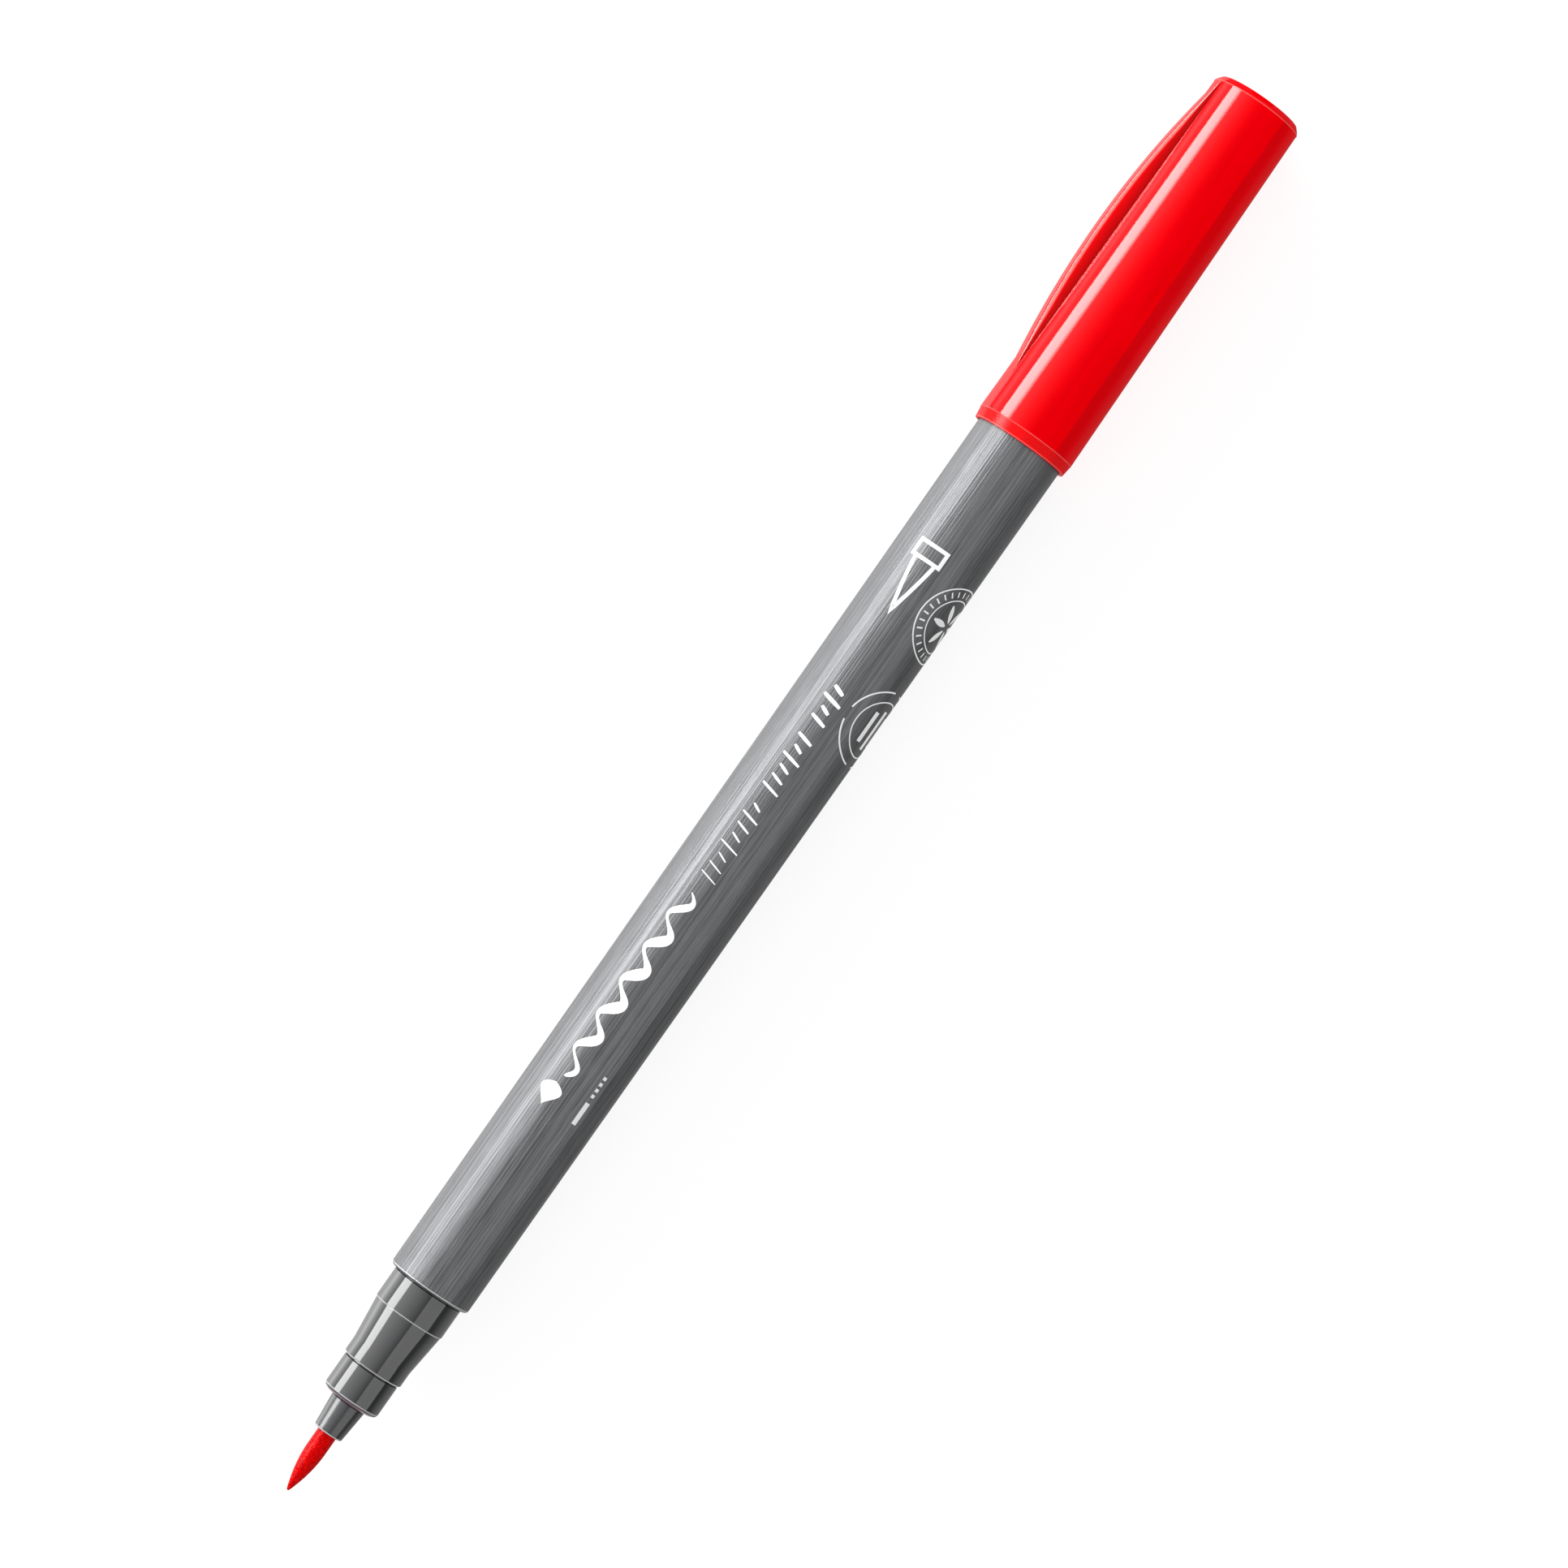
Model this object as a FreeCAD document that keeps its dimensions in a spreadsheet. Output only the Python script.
import FreeCAD, Part
import math
import os
import re
import Sketcher

# Brush pen, lying along X: fibre brush nib towards -X, cap pushed on the barrel's rear towards +X.
# The origin is on the pen's axis, in the plane of the barrel's front shoulder. The cap's clip points to +Y.
# All sizes are in millimetres. "Radius" is always about the pen's axis.
SIZES = {
    # brush nib
    "nib_radius": 1.0,
    "nib_point_radius": 0.13,
    "nib_point_length": 0.1,
    "nib_ogive_length": 4.7,
    "nib_reach": 6.55,
    "flex_gap": 0.52,
    "flex_clearance": 0.05,
    "nib_tail_end": 12.0,
    # nib holder: the nose cone and its stem
    "nose_front_radius": 1.5,
    "nose_rear_radius": 1.8,
    "nose_length": 3.5,
    "nose_rounding": 0.2,
    "stem_radius": 1.4,
    "stem_length": 10.0,
    # front section, from its front collar to the spigot inside the barrel
    "collar_radius": 2.94,
    "collar_length": 3.8,
    "collar_front_radius": 2.1,
    "collar_dome_length": 0.66,
    "collar_dome_curve": 0.95,
    "ring_radius": 3.13,
    "ring_length": 1.58,
    "ring_rounding": 0.15,
    "flare_length": 4.4,
    "seat_radius": 3.68,
    "seat_length": 3.25,
    "spigot_length": 7.5,
    "cavity_radius": 2.4,
    # barrel, a tapered tube with ribs inside
    "barrel_length": 109.0,
    "barrel_front_radius": 4.3,
    "barrel_rear_radius": 4.6,
    "barrel_rounding": 0.3,
    "bore_radius": 3.45,
    "rib_width": 0.6,
    "rib_start": 8.5,
    "rib_length": 93.0,
    "rib_count": 6,
    # ink reservoir
    "reservoir_radius": 3.05,
    "reservoir_start": 8.0,
    "reservoir_length": 94.0,
    "wrap_thickness": 0.12,
    # rear plug
    "plug_length": 6.0,
    "plug_cup_radius": 2.65,
    "plug_wall": 1.2,
    "plug_crown": 0.4,
    # cap
    "cap_mouth": 96.6,
    "cap_length": 39.6,
    "cap_radius": 5.145,
    "cap_rear_radius": 4.69,
    "lip_radius": 4.96,
    "lip_length": 1.15,
    "cap_bore_radius": 4.66,
    "cap_bore_depth": 12.6,
    "cap_step_radius": 4.25,
    "cap_inner_end_radius": 3.95,
    "cap_inner_depth": 38.3,
    "cap_chamfer_length": 0.65,
    "cap_chamfer_height": 0.38,
    "cap_chamfer_curve": 1.4,
    # clip moulded on the cap
    "clip_start": 5.2,
    "clip_start_height": 4.75,
    "clip_length": 33.8,
    "clip_end_height": 4.3,
    "clip_arch_radius": 101.0,
    "clip_root_height": 4.4,
    "clip_root_end_height": 4.25,
    "clip_width": 3.1,
    # liner inside the cap
    "liner_start": 13.0,
    "liner_end": 37.6,
    "liner_clearance": 0.05,
    "liner_seal_radius": 3.74,
    "liner_seal_length": 4.0,
    "liner_end_radius": 3.3,
    "liner_end_wall": 0.8,
}

doc = FreeCAD.newDocument("brush_pen")
sheet = doc.addObject("Spreadsheet::Sheet", "Sizes")
for row, (alias, size) in enumerate(SIZES.items(), start=1):
    sheet.set("A%d" % row, alias)
    sheet.set("B%d" % row, str(size))
    sheet.setAlias("B%d" % row, alias)
doc.recompute()

FUNCTIONS = ("sqrt",)


def bound(formula):
    """The formula with every size name turned into a reference to the sheet."""
    def reference(match):
        word = match.group(0)
        return word if word in FUNCTIONS else "Sizes." + word
    return re.sub(r"[a-z_]+", reference, formula)


def number(formula):
    """The formula's value now, in millimetres."""
    return float(sheet.evalExpression(bound(formula)))


def origin_plane(body, role):
    """One of the body's own origin planes."""
    for feature in body.Origin.OriginFeatures:
        if feature.Role == role:
            return feature
    raise ValueError("no plane " + role)


def new_body(label, station="0"):
    """An empty body whose own origin lies on the pen's axis at the given station along X."""
    body = doc.addObject("PartDesign::Body", label)
    body.Label = label
    body.setExpression(".Placement.Base.x", bound(station))
    return body


def new_sketch(body, name, plane, offset=None):
    """A sketch on one of the body's origin planes, moved along the plane's normal by offset."""
    sketch = body.newObject("Sketcher::SketchObject", name)
    sketch.AttachmentSupport = (origin_plane(body, plane), [""])
    sketch.MapMode = "FlatFace"
    if offset is not None:
        sketch.setExpression(".AttachmentOffset.Base.z", bound(offset))
    return sketch


def arc_between(start, end, radius, side):
    """The shorter arc from start to end. It bulges to the left of that way for side 1, right for -1."""
    chord = end - start
    left = FreeCAD.Vector(-chord.y, chord.x, 0).normalize()
    middle = (start + end) * 0.5
    depth = radius - math.sqrt(radius ** 2 - (chord.Length / 2) ** 2)
    return Part.Arc(start, middle + left * side * depth, end)


def draw_outline(sketch, corners):
    """A closed outline, each corner held by the sheet.

    A corner is (x, y), reached by a straight line, or (x, y, radius, side), reached by an arc.
    """
    points = [FreeCAD.Vector(number(corner[0]), number(corner[1]), 0) for corner in corners]
    ends = []
    for index, corner in enumerate(corners):
        start = points[index - 1]
        end = points[index]
        if len(corner) == 2:
            edge = sketch.addGeometry(Part.LineSegment(start, end))
            ends.append((edge, 1, 2))
            continue
        edge = sketch.addGeometry(arc_between(start, end, number(corner[2]), corner[3]))
        drawn_from = sketch.getPoint(edge, 1)
        forward = drawn_from.distanceToPoint(start) < drawn_from.distanceToPoint(end)
        ends.append((edge, 1, 2) if forward else (edge, 2, 1))
    for (edge_before, _, last_before), (edge, first, _) in zip(ends[-1:] + ends, ends):
        sketch.addConstraint(Sketcher.Constraint("Coincident", edge_before, last_before, edge, first))
    for corner, (edge, _, last) in zip(corners, ends):
        hold(sketch, "DistanceX", -2, edge, last, corner[0])
        hold(sketch, "DistanceY", -1, edge, last, corner[1])
        if len(corner) > 2:
            index = sketch.addConstraint(Sketcher.Constraint("Radius", edge, number(corner[2])))
            sketch.setExpression("Constraints[%d]" % index, bound(corner[2]))


def hold(sketch, kind, axis, edge, end, formula):
    """Keeps one coordinate of an edge's end at the formula's value, or on the axis where it is zero."""
    if formula == "0":
        sketch.addConstraint(Sketcher.Constraint("PointOnObject", edge, end, axis))
        return
    index = sketch.addConstraint(Sketcher.Constraint(kind, -1, 1, edge, end, number(formula)))
    sketch.setExpression("Constraints[%d]" % index, bound(formula))


def turned(label, station, corners):
    """A body turned about the pen's axis from its half outline."""
    body = new_body(label, station)
    sketch = new_sketch(body, label + "_outline", "XY_Plane")
    draw_outline(sketch, corners)
    turn = body.newObject("PartDesign::Revolution", label + "_turn")
    turn.Profile = sketch
    turn.ReferenceAxis = (sketch, ["H_Axis"])
    turn.Angle = 360
    sketch.Visibility = False
    return body


# Stations along X, as formulas of the sheet's sizes.
SECTION_FRONT = "-(seat_length + flare_length + ring_length + collar_length)"
NOSE_FRONT = SECTION_FRONT + " - nose_length"
FLEX_CENTRE = NOSE_FRONT + " - flex_gap"


def make_brush_tip():
    """The bending front of the nib: a blunt-pointed ogive with a round heel about the bending centre."""
    reach = "nib_reach - flex_gap"
    point_curve = "(nib_point_length^2 + nib_point_radius^2) / (2 * nib_point_length)"
    rise = "(nib_radius - nib_point_radius)"
    ogive_curve = "(nib_ogive_length^2 + %s^2) / (2 * %s)" % (rise, rise)
    return turned("brush_tip", NOSE_FRONT + " - nib_reach", [
        ("0", "0"),
        ("nib_point_length", "nib_point_radius", point_curve, 1),
        ("nib_point_length + nib_ogive_length", "nib_radius", ogive_curve, 1),
        (reach, "nib_radius"),
        (reach + " + nib_radius", "0", "nib_radius", 1),
    ])


def make_nib_shaft():
    """The held rear of the nib, cupped in front around the brush tip's heel."""
    socket = "nib_radius + flex_clearance"
    rim = "sqrt((%s)^2 - nib_radius^2)" % socket
    tail = "nib_tail_end - (%s)" % FLEX_CENTRE
    return turned("nib_shaft", FLEX_CENTRE, [
        (socket, "0"),
        (rim, "nib_radius", socket, -1),
        (tail, "nib_radius"),
        (tail, "0"),
    ])


def make_nib_holder():
    """The nose cone, with a stem that is pressed into the front section."""
    return turned("nib_holder", NOSE_FRONT, [
        ("0", "nib_radius"),
        ("0", "nose_front_radius - nose_rounding"),
        ("nose_rounding", "nose_front_radius", "nose_rounding", 1),
        ("nose_length", "nose_rear_radius"),
        ("nose_length", "stem_radius"),
        ("nose_length + stem_length", "stem_radius"),
        ("nose_length + stem_length", "nib_radius"),
    ])


def make_front_section():
    """The stepped grip end: collar, ring, flare, cap seat, and the spigot inside the barrel."""
    ring = "collar_length"
    flare = ring + " + ring_length"
    seat = flare + " + flare_length"
    shoulder = seat + " + seat_length"
    back = shoulder + " + spigot_length"
    return turned("front_section", SECTION_FRONT, [
        ("0", "stem_radius"),
        ("0", "collar_front_radius"),
        ("collar_dome_length", "collar_radius", "collar_dome_curve", 1),
        (ring, "collar_radius"),
        (ring, "ring_radius - ring_rounding"),
        (ring + " + ring_rounding", "ring_radius", "ring_rounding", 1),
        (flare, "ring_radius"),
        (seat, "seat_radius"),
        (shoulder, "seat_radius"),
        (shoulder, "bore_radius"),
        (back, "bore_radius"),
        (back, "cavity_radius"),
        ("stem_length", "cavity_radius"),
        ("stem_length", "stem_radius"),
    ])


def make_barrel():
    """The long tapered tube. Its inner ribs hold the reservoir and leave air ways beside it."""
    body = turned("barrel", "0", [
        ("0", "bore_radius"),
        ("0", "barrel_front_radius - barrel_rounding"),
        ("barrel_rounding", "barrel_front_radius", "barrel_rounding", 1),
        ("barrel_length - barrel_rounding", "barrel_rear_radius"),
        ("barrel_length", "barrel_rear_radius - barrel_rounding", "barrel_rounding", 1),
        ("barrel_length", "bore_radius"),
    ])
    sketch = new_sketch(body, "rib_outline", "YZ_Plane", "rib_start")
    root = "bore_radius + rib_width / 4"
    draw_outline(sketch, [
        ("reservoir_radius", "-rib_width / 2"),
        (root, "-rib_width / 2"),
        (root, "rib_width / 2"),
        ("reservoir_radius", "rib_width / 2"),
    ])
    rib = body.newObject("PartDesign::Pad", "rib")
    rib.Profile = sketch
    rib.setExpression("Length", bound("rib_length"))
    doc.recompute()
    ribs = body.newObject("PartDesign::PolarPattern", "ribs")
    ribs.Originals = [rib]
    ribs.Axis = (sketch, ["N_Axis"])
    ribs.Angle = 360
    ribs.setExpression("Occurrences", bound("rib_count"))
    body.Tip = ribs
    return body


def make_ink_reservoir():
    """The fibre core that holds the ink. The nib's tail is pushed into its front."""
    core = "reservoir_radius - wrap_thickness"
    tail_depth = "nib_tail_end - reservoir_start"
    return turned("ink_reservoir", "reservoir_start", [
        ("0", "nib_radius"),
        ("0", core),
        ("reservoir_length", core),
        ("reservoir_length", "0"),
        (tail_depth, "0"),
        (tail_depth, "nib_radius"),
    ])


def make_reservoir_wrap():
    """The clear film sleeve around the fibre core."""
    return turned("reservoir_wrap", "reservoir_start", [
        ("0", "reservoir_radius - wrap_thickness"),
        ("0", "reservoir_radius"),
        ("reservoir_length", "reservoir_radius"),
        ("reservoir_length", "reservoir_radius - wrap_thickness"),
    ])


def make_end_plug():
    """The cup-shaped plug that closes the barrel's rear."""
    crown_curve = "(bore_radius^2 + plug_crown^2) / (2 * plug_crown)"
    return turned("end_plug", "barrel_length - plug_length", [
        ("0", "plug_cup_radius"),
        ("0", "bore_radius"),
        ("plug_length", "bore_radius"),
        ("plug_length + plug_crown", "0", crown_curve, 1),
        ("plug_length - plug_wall", "0"),
        ("plug_length - plug_wall", "plug_cup_radius"),
    ])


def make_cap_shell():
    """The cap: a tapered shell with a tapered lip band, a round-chamfered end and the arched clip."""
    chamfer = "cap_length - cap_chamfer_length"
    body = turned("cap_shell", "cap_mouth", [
        ("0", "cap_bore_radius"),
        ("0", "lip_radius"),
        ("lip_length", "cap_radius"),
        (chamfer, "cap_rear_radius"),
        ("cap_length", "cap_rear_radius - cap_chamfer_height", "cap_chamfer_curve", 1),
        ("cap_length", "0"),
        ("cap_inner_depth", "0"),
        ("cap_inner_depth", "cap_inner_end_radius"),
        ("cap_bore_depth", "cap_step_radius"),
        ("cap_bore_depth", "cap_bore_radius"),
    ])
    sketch = new_sketch(body, "clip_outline", "XY_Plane")
    clip_end = "clip_start + clip_length"
    draw_outline(sketch, [
        ("clip_start", "clip_root_height + cap_bore_radius - cap_step_radius"),
        ("clip_start", "clip_start_height"),
        (clip_end, "clip_end_height", "clip_arch_radius", 1),
        (clip_end, "clip_root_end_height"),
        ("cap_bore_depth", "clip_root_height"),
        ("cap_bore_depth", "clip_root_height + cap_bore_radius - cap_step_radius"),
    ])
    clip = body.newObject("PartDesign::Pad", "clip")
    clip.Profile = sketch
    clip.SideType = "Symmetric"
    clip.setExpression("Length", bound("clip_width"))
    return body


def make_cap_liner():
    """The inner cap that seals on the front section's seat when the pen is closed."""
    outer_slope = "(cap_step_radius - cap_inner_end_radius) / (cap_inner_depth - cap_bore_depth)"
    front_radius = "cap_step_radius - liner_clearance - (liner_start - cap_bore_depth) * " + outer_slope
    rear_radius = "cap_step_radius - liner_clearance - (liner_end - cap_bore_depth) * " + outer_slope
    length = "liner_end - liner_start"
    return turned("cap_liner", "cap_mouth + liner_start", [
        ("0", "liner_seal_radius"),
        ("0", front_radius),
        (length, rear_radius),
        (length, "0"),
        (length + " - liner_end_wall", "0"),
        (length + " - liner_end_wall", "liner_end_radius"),
        ("liner_seal_length", "liner_seal_radius"),
    ])


PIECES = [
    make_brush_tip(),
    make_nib_shaft(),
    make_nib_holder(),
    make_front_section(),
    make_barrel(),
    make_ink_reservoir(),
    make_reservoir_wrap(),
    make_end_plug(),
    make_cap_shell(),
    make_cap_liner(),
]

doc.recompute()
for item in doc.Objects:
    if "Invalid" in item.State or "Error" in item.State:
        raise RuntimeError("failed object: " + item.Label)
os.makedirs("parts", exist_ok=True)
for piece in PIECES:
    if piece.Shape.isNull() or not piece.Shape.isValid() or len(piece.Shape.Solids) != 1:
        raise RuntimeError("bad shape: " + piece.Label)
for piece in PIECES:
    piece.Shape.exportStep("parts/%s.step" % piece.Label)
    box = piece.Shape.BoundBox
    print("%-15s volume %8.2f mm3   X %7.2f to %7.2f   Y %6.2f to %6.2f"
          % (piece.Label, piece.Shape.Volume, box.XMin, box.XMax, box.YMin, box.YMax))
